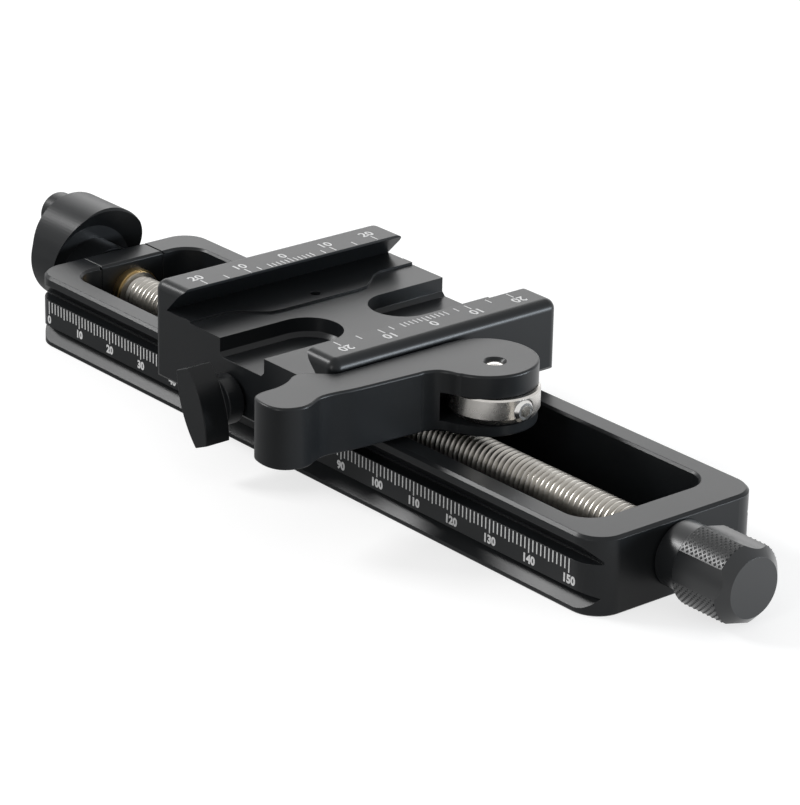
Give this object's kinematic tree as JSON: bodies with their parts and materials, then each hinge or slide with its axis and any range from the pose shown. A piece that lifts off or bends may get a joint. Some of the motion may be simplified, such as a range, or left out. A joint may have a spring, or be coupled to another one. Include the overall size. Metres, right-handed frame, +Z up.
{
  "type": "macro focusing rail",
  "caption": "Slotted focusing rail with a lead screw, crank and fine knob, carrying a lever-clamped dovetail plate seat with a wing lock knob.",
  "frame": {"origin": "middle of the rail's underside", "axes": "+X along the rail towards the fine knob, -Y towards the side with the scale and the lock knob, +Z up from the rail's underside to the plate seat"},
  "size_m": [0.2017, 0.0705, 0.0288],
  "materials": {
    "black_anodised": "satin black anodised, with white printed scales",
    "stainless_steel": "turned",
    "screw_steel": "satin",
    "brass": "turned",
    "spring_steel": "plain"
  },
  "bodies": {
    "rail": {"rail_frame": "black_anodised", "bearing_block": "black_anodised", "bearing_block_screws": "screw_steel", "rear_bush": "brass", "front_bush": "brass"},
    "screw": {"lead_screw": "stainless_steel", "thrust_washers": "stainless_steel", "fine_knob": "black_anodised", "fine_knob_set_screw": "screw_steel", "crank_body": "black_anodised", "crank_set_screw": "screw_steel", "peg_axle": "stainless_steel"},
    "peg": {"crank_peg": "black_anodised"},
    "carriage": {"carriage_block": "black_anodised", "drive_nut": "brass", "nut_screws": "screw_steel", "draw_rod": "stainless_steel", "cam_barrel": "stainless_steel", "barrel_set_screw": "screw_steel", "jaw_springs": "spring_steel"},
    "jaw": {"movable_jaw": "black_anodised", "jaw_guide_pins": "stainless_steel"},
    "lever": {"lever_arm": "black_anodised", "lever_pin": "stainless_steel"},
    "lock_end": {"lock_pad": "brass"},
    "lock": {"lock_knob": "black_anodised", "lock_stud": "stainless_steel"}
  },
  "joints": [
    {"name": "screw_spin", "type": "hinge", "parent": "rail", "child": "screw", "pos_m": [0, 0, 0.0075], "axis": [1, 0, 0], "range_deg": [-14400, 12240]},
    {"name": "carriage_slide", "type": "slide", "parent": "rail", "child": "carriage", "axis": [1, 0, 0], "range_m": [-0.0425, 0.05]},
    {"name": "peg_spin", "type": "hinge", "parent": "screw", "child": "peg", "pos_m": [-0.1004, 0.00179, 0.01591], "axis": [1, 0, 0], "continuous": true},
    {"name": "lever_turn", "type": "hinge", "parent": "carriage", "child": "lever", "pos_m": [0.03305, 0, 0.02005], "axis": [0, 0, 1], "range_deg": [0, 110]},
    {"name": "jaw_slide", "type": "slide", "parent": "carriage", "child": "jaw", "axis": [1, 0, 0], "range_m": [0, 0.0024]},
    {"name": "lock_advance", "type": "slide", "parent": "carriage", "child": "lock_end", "axis": [0, 1, 0], "range_m": [0, 0.00035]},
    {"name": "lock_turn", "type": "hinge", "parent": "lock_end", "child": "lock", "pos_m": [-0.00805, -0.027, 0.0131], "axis": [0, 1, 0], "range_deg": [0, 180]}
  ],
  "couplings": [
    {"joint": "screw_spin", "follows": "carriage_slide", "rad_per_m": -5026.5},
    {"joint": "jaw_slide", "follows": "lever_turn", "m_per_rad": 0.00125},
    {"joint": "lock_turn", "follows": "lock_advance", "rad_per_m": 8975.9}
  ]
}
